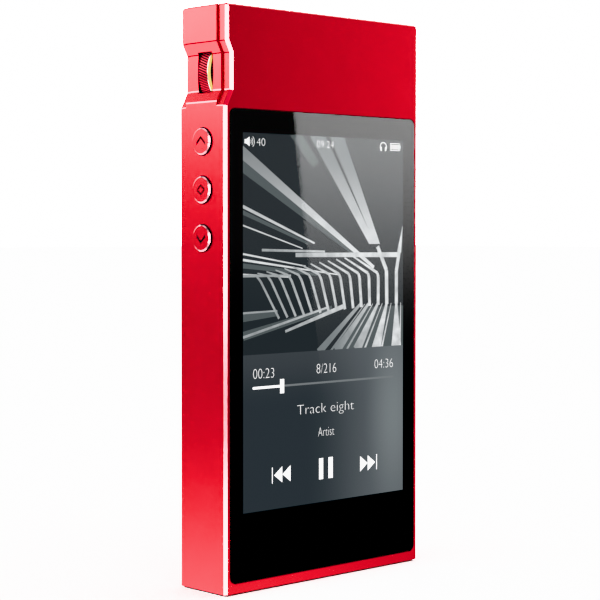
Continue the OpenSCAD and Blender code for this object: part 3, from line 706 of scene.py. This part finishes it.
def clip_outline(outline, low, high):
    """The part of a convex outline that lies inside the box from low to high, both (x, z)."""
    for axis in (0, 1):
        for limit, sign in ((low[axis], 1), (high[axis], -1)):
            kept = []
            for i, point in enumerate(outline):
                before = outline[i - 1]
                gap_before = sign * (before[axis] - limit)
                gap = sign * (point[axis] - limit)
                if gap_before * gap < 0:
                    part = gap_before / (gap_before - gap)
                    kept.append(tuple(b + part * (p - b) for b, p in zip(before, point)))
                if gap >= 0:
                    kept.append(point)
            outline = kept
    return outline


ART_LOW = (-PICTURE_W / 2, ART_LOW_Z)
ART_HIGH = (PICTURE_W / 2, PICTURE_HIGH_Z)
VANISH = Vector((18.4, 57.2))


def stroke(start, end, start_width, end_width):
    """A straight bar between two points, given in millimetres, as wide at each end as said."""
    start, end = Vector(start) * MM, Vector(end) * MM
    side = (end - start).orthogonal().normalized() * MM / 2
    return [tuple(start - side * start_width), tuple(end - side * end_width),
            tuple(end + side * end_width), tuple(start + side * start_width)]


def beam(start, reach, width):
    """A beam that narrows from start towards the vanishing point, over reach of the way."""
    end = Vector(start).lerp(VANISH, reach)
    outside = Vector(start).lerp(VANISH, -0.3)
    return stroke(outside, end, 1.3 * width, width * (1 - 0.8 * reach))


def bent_line(points, width):
    """Bars that follow a row of points in millimetres."""
    return [stroke(start, end, width, width) for start, end in zip(points, points[1:])]


def rib(part):
    """A rib that comes along the ceiling and bends down a wall. part is 0 for the far left one and 1 for
    the one at the right, where the walls stand upright."""
    top = Vector((-18.4 + 32.6 * part, 59.3))
    foot = top + Vector((0.2 + 5.6 * (1 - part) ** 1.2, -8.2 + 1.8 * part))
    along = top + Vector((-2 - 5 * part, 0.2 + 3.2 * part))
    knee = top.lerp(foot, 0.16) + Vector((0.2, 0.2))
    wide = 0.5 + 0.3 * part
    return [stroke(along, top, 0.4 * wide, 0.8 * wide), stroke(top, knee, 0.8 * wide, wide),
            stroke(knee, foot, wide, wide)]


def art_piece(name, outlines, front, material):
    """A piece of the cover picture, cut off at the picture's edges."""
    clipped = [clip_outline(outline, ART_LOW, ART_HIGH) for outline in outlines]
    mesh = flat_shapes(name, [outline for outline in clipped if len(outline) > 2], front)
    place_piece(name, mesh, PLAYER, [material])


def cover_art():
    """A made-up hall of light: beams run to one vanishing point, over a row of bent ribs."""
    bright = light_screen("bright beams", (0.22, 0.24, 0.25), beam_light)
    ceiling_light = light_screen("ceiling beams", (0.12, 0.14, 0.15), beam_light)
    dim = light_screen("dim beams", (0.09, 0.11, 0.115))
    white = light_screen("white ribs", (0.42, 0.45, 0.46), light_to_right(-18 * MM, 12 * MM))
    shine = light_screen("shine on the floor", (0.2, 0.23, 0.24), light_to_right(0, 17 * MM))
    left = -21.7
    dim_beams = [((left, 79.6), 0.75, 2.0), ((left, 71.1), 0.42, 0.8), ((left, 61.2), 0.5, 0.9),
                 ((-8.2, 86.1), 0.2, 2.4)]
    bands = [stroke((left, 51.6), (-12.9, 52.1), 1.7, 1.0), stroke((left, 48.1), (1.5, 52.7), 1.7, 0.9),
             [(x * MM, z * MM) for x, z in ((10.5, 52.6), (1.5, 44), (22, 44), (22, 52.6))]]
    art_piece("art_dim_beams", [beam(*values) for values in dim_beams] + bands, SHADE_FRONT, dim)
    bright_beams = [((left, 82.1), 0.87, 2.2), ((left, 72.2), 0.46, 0.6), ((left, 68.7), 0.38, 0.3),
                    ((left, 63.4), 0.4, 0.35), ((left, 62.3), 0.62, 0.45), ((left, 59.6), 0.3, 0.3),
                    ((-2.2, 69.5), 0.6, 0.14)]
    ceiling = [clip_outline(beam(start, 0.8, 3.3), (ART_LOW[0], 65.1 * MM), ART_HIGH)
               for start in ((-2.5, 86.1), (2.8, 86.1))]
    art_piece("art_bright_beams", [beam(*values) for values in bright_beams], ART_FRONT + 0.003 * MM, bright)
    art_piece("art_ceiling_beams", ceiling, ART_FRONT + 0.003 * MM, ceiling_light)
    lines = [stroke((-17, 64.1), (-0.5, 63.7), 0.5, 0.4), stroke((-8.3, 63.1), (20, 62.9), 0.8, 1.0),
             stroke((left, 59.3), (-9.5, 59.2), 0.5, 0.4), stroke((left, 52.4), (-13.1, 52.6), 0.4, 0.3),
             stroke((left, 47.9), (0.6, 52.9), 0.5, 0.4), stroke((-11, 48.6), (4.5, 52.9), 0.5, 0.9)]
    count = 13
    for i in range(count):
        lines += rib(i / (count - 1))
    lines += bent_line([(14.2, 64.6), (16.8, 59.8), (16.9, 53)], 0.95)
    lines.append(stroke((21.5, 68.6), (20.5, 63.4), 0.1, 1.2))
    lines += bent_line([(20.5, 63.4), (19.7, 59.7), (19.7, 53)], 0.9)
    art_piece("art_ribs", lines, ART_FRONT, white)
    floor_beams = []
    for foot in (9.3, 11.6, 14.3, 16.9, 19.7):
        spread_out = 2.1 * (19.7 - foot)
        floor_beams.append(stroke((foot, 53.2), (19.7 - spread_out, 44.2), 0.6, 2.9 - 0.06 * spread_out))
        floor_beams.append(stroke((foot + 1.3, 53.2), (21.7 - 1.9 * (20.2 - foot), 44.2), 0.15, 0.5))
    art_piece("art_floor_beams", floor_beams, ART_FRONT + 0.006 * MM, shine)


def screen_fields():
    """The two dark fields of the picture: behind the art, and behind the controls."""
    x = PICTURE_W / 2
    dark = light_screen("dark slate field", (0.0165, 0.0235, 0.028))
    panel = light_screen("control field", (0.024, 0.034, 0.042), panel_glow)
    for name, z0, z1, material in (("picture_field", ART_LOW_Z, PICTURE_HIGH_Z, dark),
                                   ("control_field", PICTURE_LOW_Z, ART_LOW_Z, panel)):
        outline = [(-x, z0), (x, z0), (x, z1), (-x, z1)]
        mesh = flat_shapes(name, [outline], PICTURE_FRONT)
        place_piece(name, mesh, PLAYER, [material])


def lettering(name, text, low, high, material):
    """Lit letters that fill the box from low to high, given as (x, z) in millimetres."""
    half_thick = 0.5
    thinner = -0.024
    curve = bpy.data.curves.new(name, "FONT")
    curve.body = text
    curve.extrude = half_thick
    curve.offset = thinner
    source = bpy.data.objects.new(name, curve)
    bpy.context.scene.collection.objects.link(source)
    graph = bpy.context.evaluated_depsgraph_get()
    mesh = bpy.data.meshes.new_from_object(source.evaluated_get(graph))
    bpy.data.objects.remove(source)
    xs = [vert.co.x for vert in mesh.vertices]
    ys = [vert.co.y for vert in mesh.vertices]
    wide = (high[0] - low[0]) / (max(xs) - min(xs))
    tall = (high[1] - low[1]) / (max(ys) - min(ys))
    for vert in mesh.vertices:
        x = low[0] + (vert.co.x - min(xs)) * wide
        z = low[1] + (vert.co.y - min(ys)) * tall
        vert.co = (x * MM, MARK_FRONT + (half_thick - vert.co.z) * SHAPE_THICK, z * MM)
    place_piece(name, mesh, PLAYER, [material])


def box_outline(x0, x1, z0, z1):
    """A rectangle, given in millimetres."""
    return [(x0 * MM, z0 * MM), (x1 * MM, z0 * MM), (x1 * MM, z1 * MM), (x0 * MM, z1 * MM)]


def arc_band(centre, inner, outer, start, end, steps=8):
    """Short quads that follow an arc, in millimetres and degrees."""
    def at(radius, step):
        angle = math.radians(start + (end - start) * step / steps)
        return ((centre[0] + radius * math.cos(angle)) * MM, (centre[1] + radius * math.sin(angle)) * MM)

    return [[at(inner, k), at(inner, k + 1), at(outer, k + 1), at(outer, k)] for k in range(steps)]


def pill(x0, x1, z0, z1):
    """A bar with round ends, in millimetres."""
    middle = ((x0 + x1) / 2 * MM, (z0 + z1) / 2 * MM)
    outline = rounded_outline((x1 - x0) * MM, (z1 - z0) * MM, (z1 - z0) / 2 * MM, 6)
    return [(middle[0] + x, middle[1] + z) for x, z in outline]


def screen_marks():
    """Numbers, icons and lines on the lit screen, with made-up words where the titles would be."""
    white = light_screen("white marks", (1.0, 1.0, 1.0))
    letters = light_screen("letters and small icons", (0.92, 0.92, 0.92))
    grey = light_screen("grey line", (0.2, 0.22, 0.23))
    for name, text, low, high in (
            ("volume_digits", "40", (-18.25, 83.6), (-16.15, 85.0)),
            ("clock_digits", "09:24", (-2.65, 83.75), (1.9, 85.1)),
            ("elapsed_digits", "00:23", (-19.2, 40.0), (-13.9, 41.85)),
            ("track_digits", "8/216", (-2.7, 40.1), (2.6, 41.95)),
            ("length_digits", "04:36", (13.4, 40.25), (18.7, 42.0)),
            ("title_words", "Track eight", (-7.9, 31.9), (7.6, 34.3)),
            ("artist_word", "Artist", (-2.3, 27.9), (2.1, 29.6))):
        lettering(name, text, low, high, letters)

    def marks(name, outlines, material=white, front=MARK_FRONT):
        """Places one piece made of lit shapes."""
        mesh = flat_shapes(name, outlines, front)
        place_piece(name, mesh, PLAYER, [material])

    mid = 84.3
    cone = ((-20.9, mid - 0.4), (-20.05, mid - 0.9), (-20.05, mid + 0.9), (-20.9, mid + 0.4))
    speaker = [box_outline(-21.3, -20.9, mid - 0.4, mid + 0.4), [(x * MM, z * MM) for x, z in cone]]
    for radius in (0.4, 0.8, 1.2):
        speaker += arc_band((-20.1, mid), radius, radius + 0.1, -48, 48)
    marks("speaker_icon", speaker, letters)
    phones = arc_band((15.85, 84.45), 0.84, 1.0, -15, 195, 12)
    phones += [pill(14.98, 15.4, 83.7, 84.5), pill(16.3, 16.72, 83.7, 84.5)]
    marks("headphones_icon", phones, letters)
    cells = [box_outline(18.08 + 0.63 * k, 18.5 + 0.63 * k, 84.1, 85.05) for k in range(4)]
    frame_bars = [box_outline(17.85, 20.65, 83.82, 83.94), box_outline(17.85, 20.65, 85.21, 85.33),
                  box_outline(17.83, 17.93, 83.82, 85.33), box_outline(20.57, 20.67, 83.82, 85.33),
                  box_outline(20.67, 20.85, 84.3, 84.85)]
    marks("battery_icon", cells + frame_bars, letters)
    marks("progress_line", [pill(-19.4, 18.8, 38.12, 38.5)], grey, SHADE_FRONT)
    marks("progress_played", [pill(-19.35, -12, 38.05, 38.52)])
    marks("progress_handle", [box_outline(-12.35, -11.3, 36.9, 39.6)])
    for name, centre, way in (("skip_back_icon", -9.65, -1), ("skip_on_icon", 9.3, 1)):
        low, high = 19.95, 23.0
        shapes = []
        for shift in (0, 2.15):
            base, tip = centre + way * shift, centre + way * (shift + 2.1)
            shapes.append([(base * MM, low * MM), (tip * MM, (low + high) / 2 * MM), (base * MM, high * MM)])
        bar = centre + way * 4.6
        shapes.append(box_outline(min(bar, bar + 0.2 * way), max(bar, bar + 0.2 * way), low, high))
        marks(name, shapes)
    marks("pause_icon", [box_outline(-2.05, -0.95, 19.5, 23.6), box_outline(0.5, 1.68, 19.5, 23.6)])


# ---------------------------------------------------------------- inside and small parts

def plain_nodes():
    """Every CAD node gets the finish of its slot, those that pieces stand for included."""
    for node, source in NODES.items():
        source.data.materials.clear()
        source.data.materials.append(FINISH[SLOT_OF[node]])


# ---------------------------------------------------------------- studio

def add_camera():
    """The camera that was fitted to the photograph."""
    camera = bpy.data.cameras.new("camera")
    camera.lens = 102.72
    camera.shift_y = -0.041
    camera.sensor_width = 36
    camera.clip_start = 0.01
    camera.clip_end = 50
    holder = bpy.data.objects.new("camera", camera)
    holder.location = Vector((-232.5, -243.9, 67.6)) * MM
    holder.rotation_euler = (math.radians(90 - 1.473), 0, math.radians(-43.507))
    bpy.context.scene.collection.objects.link(holder)
    bpy.context.scene.camera = holder


def heading(x, y):
    """The compass direction of (x, y) in degrees, 0 along +Y and 90 along +X."""
    return math.degrees(math.atan2(x, y))


def window(tree, value, low, high, soft):
    """1 where value is between low and high, falling smoothly to 0 over soft outside them."""
    rise = add(tree, "MapRange", {"Value": value, "From Min": low - soft, "From Max": low},
               interpolation_type="SMOOTHSTEP").outputs["Result"]
    fall = add(tree, "MapRange", {
        "Value": value, "From Min": high, "From Max": high + soft, "To Min": 1.0, "To Max": 0.0},
        interpolation_type="SMOOTHSTEP").outputs["Result"]
    return add(tree, "Math", {0: rise, 1: fall}, operation="MULTIPLY").outputs[0]


# Soft boxes of the studio: name, heading, half width, soft edge, lowest and highest angle above the
# horizon with their soft edge, and brightness. Angles are in degrees.
SOFT_BOXES = [
    ("room", 60, 88, 24, 0, 90, 3, 0.3),
    ("floor", 0, 100, 15, -90, 0, 2, 0.4),
    ("back left", heading(-0.689, 0.725), 24, 14, 5.8, 30.5, 3, 6.6),
    ("floor at back left", heading(-0.56, 0.72), 26, 14, -60, -12.6, 4, 3.5),
    ("front left", heading(-0.75, -0.66), 34, 22, -70, 35, 8, 1.0),
    ("left of camera", heading(-0.97, -0.246), 3.5, 3, -2, 24, 2, 34.0),
    ("left of camera, low", heading(-0.97, -0.246), 3.5, 3, -40, -9.5, 2, 34.0),
    ("right", heading(1, 0.1), 22, 16, -5, 40, 12, 2.2),
    ("front", heading(0.0, -1), 14, 12, -5, 50, 12, 1.4),
    ("back", heading(0.15, 1), 16, 14, -5, 45, 12, 1.6),
    ("above", 0, 180, 1, 58, 90, 14, 3.5),
]


# Brightness of the room for matt surfaces, and what is added to it where the camera sees it
ROOM_LIGHT = 1.1
BACKDROP_LIGHT = 50.0


def add_world():
    """White room for the eye and for matt surfaces, soft boxes on dark for everything that mirrors it."""
    world = bpy.data.worlds.new("studio")
    bpy.context.scene.world = world
    world.use_nodes = True
    tree = world.node_tree
    tree.nodes.clear()
    parts = add(tree, "SeparateXYZ", {"Vector": add(tree, "TexCoord").outputs["Generated"]})
    flat = add(tree, "CombineXYZ", {"X": parts.outputs["X"], "Y": parts.outputs["Y"]})
    flat = add(tree, "VectorMath", {0: flat.outputs[0]}, operation="NORMALIZE").outputs[0]
    height = parts.outputs["Z"]
    total = None
    for _, turn, half, edge, low, high, soft, strength in SOFT_BOXES:
        box = window(tree, height, math.sin(math.radians(low)), math.sin(math.radians(high)),
                     math.sin(math.radians(soft)))
        if half < 180:
            axis = (math.sin(math.radians(turn)), math.cos(math.radians(turn)), 0)
            facing = add(tree, "VectorMath", {0: flat, 1: axis}, operation="DOT_PRODUCT").outputs["Value"]
            span = {"Value": facing, "From Min": math.cos(math.radians(half + edge)),
                    "From Max": math.cos(math.radians(half))}
            side = add(tree, "MapRange", span, interpolation_type="SMOOTHSTEP").outputs["Result"]
            box = add(tree, "Math", {0: box, 1: side}, operation="MULTIPLY").outputs[0]
        box = add(tree, "Math", {0: box, 1: strength}, operation="MULTIPLY").outputs[0]
        total = box if total is None else add(tree, "Math", {0: total, 1: box}, operation="ADD").outputs[0]
    path = add(tree, "LightPath")
    mirrored = add(tree, "Background", {"Strength": total})
    mirrored.inputs["Color"].default_value = (1, 1, 1, 1)
    share = {0: path.outputs["Is Camera Ray"], 1: BACKDROP_LIGHT, 2: ROOM_LIGHT}
    seen = add(tree, "Math", share, operation="MULTIPLY_ADD").outputs[0]
    room = add(tree, "Background", {"Color": (1, 1, 1, 1), "Strength": seen})
    mix = add(tree, "MixShader", {
        0: path.outputs["Is Glossy Ray"], 1: room.outputs[0], 2: mirrored.outputs[0]})
    add(tree, "OutputWorld", {"Surface": mix.outputs[0]})
    world.cycles.sampling_method = "NONE"


def add_floor():
    """A plain pale floor that metal doesn't mirror: the world's lower half stands in for it there."""
    bm = bmesh.new()
    bmesh.ops.create_grid(bm, x_segments=1, y_segments=1, size=6)
    floor = bpy.data.objects.new("floor", mesh_of(bm, "floor"))
    material = surface("pale floor", (0.93, 0.93, 0.93), (0.92, 0.92, 0.92), (0.6, 0.7),
                       grain=2 * MM, relief=0.02, drift=80 * MM, specular_ior_level=0.0)
    floor.data.materials.append(material)
    floor.visible_glossy = False
    floor.visible_diffuse = False
    bpy.context.scene.collection.objects.link(floor)
    sun = bpy.data.lights.new("floor light", "SUN")
    sun.energy = 17
    sun.angle = math.radians(100)
    lamp = bpy.data.objects.new("floor light", sun)
    bpy.context.scene.collection.objects.link(lamp)
    light_only(lamp, [floor])


def light_only(source, receivers):
    """A lamp or a glowing sheet that lights just the receivers."""
    group = bpy.data.collections.new(source.name + " receivers")
    for receiver in receivers:
        group.objects.link(receiver)
    source.light_linking.receiver_collection = group


def glow_card(name, corners, receivers, brightness, strength):
    """A sheet of light that only the receivers mirror, and that nothing else sees."""
    bm = bmesh.new()
    bm.faces.new([bm.verts.new(corner) for corner in corners])
    card = bpy.data.objects.new(name, mesh_of(bm, name))
    material, tree = empty_material(name)
    amount = brightness(tree, add(tree, "TexCoord").outputs["Object"])
    amount = add(tree, "Math", {0: amount, 1: strength}, operation="MULTIPLY").outputs[0]
    light = add(tree, "Emission", {"Color": (1, 1, 1, 1), "Strength": amount})
    through = add(tree, "BsdfTransparent")
    both = add(tree, "AddShader", {0: light.outputs[0], 1: through.outputs[0]})
    add(tree, "OutputMaterial", {"Surface": both.outputs[0]})
    material.cycles.emission_sampling = "NONE"
    card.data.materials.append(material)
    card.visible_camera = False
    card.visible_diffuse = False
    card.visible_shadow = False
    card.visible_transmission = False
    bpy.context.scene.collection.objects.link(card)
    light_only(card, receivers)


# About where the camera stands when mirrored in the glass, and the plane of the two cards
MIRRORED_EYE = Vector((-232.95, 244.24 + 2 * FRONT_Y / MM, 67.61)) * MM
CARD_Y = -250 * MM


def seen_in_glass(x, z):
    """The point on the cards' plane that the camera sees mirrored in the glass at (x, z), which is
    in millimetres."""
    point = Vector((x * MM, FRONT_Y, z * MM))
    reach = (CARD_Y - MIRRORED_EYE.y) / (point.y - MIRRORED_EYE.y)
    return MIRRORED_EYE + reach * (point - MIRRORED_EYE)


def add_cards(pane):
    """The veil of light on the upper right of the glass, and the broad light on the red front."""
    def veil(tree, place):
        """Brightens to the top."""
        top = seen_in_glass(23, 95).z
        bottom = seen_in_glass(23, 24).z
        rise = ramp_to(tree, place, "Z", bottom, top)
        return add(tree, "Math", {0: rise, 1: 2.2}, operation="POWER").outputs[0]

    edge = ((-9.6, 93), (-6, 66), (-1.4, 38), (-0.6, 24), (40, 24), (40, 130), (-14, 130))
    glow_card("glass veil card", [seen_in_glass(x, z) for x, z in edge], [pane], veil, 6.0)

    def across(tree, place):
        """Brightens to the right, and near the foot to the left."""
        left, right = seen_in_glass(-50, 60).x, seen_in_glass(50, 60).x
        upper = ramp_to(tree, place, "X", left, right, 0.0, 1.42)
        left, right = seen_in_glass(-15, 5).x, seen_in_glass(30, 5).x
        lower = ramp_to(tree, place, "X", left, right, 1.65, 0.7)
        down = ramp_to(tree, place, "Z", seen_in_glass(0, 20).z, seen_in_glass(0, 6).z)
        return add(tree, "Mix", {0: down, 2: upper, 3: lower}, data_type="FLOAT").outputs[0]

    metal = [piece for piece in bpy.context.scene.objects if piece.name.endswith("_finished")]
    wide = [seen_in_glass(x, z) for x, z in ((-75, -60), (75, -60), (75, 190), (-75, 190))]
    glow_card("front card", wide, metal, across, 1.0)


plain_nodes()
casing()
side_buttons()
knurled_rim()
trim_rings()
front_pane = screen_layers()
screen_fields()
cover_art()
screen_marks()
add_camera()
add_world()
add_floor()
add_cards(front_pane)
bpy.context.scene.view_settings.view_transform = "Khronos PBR Neutral"
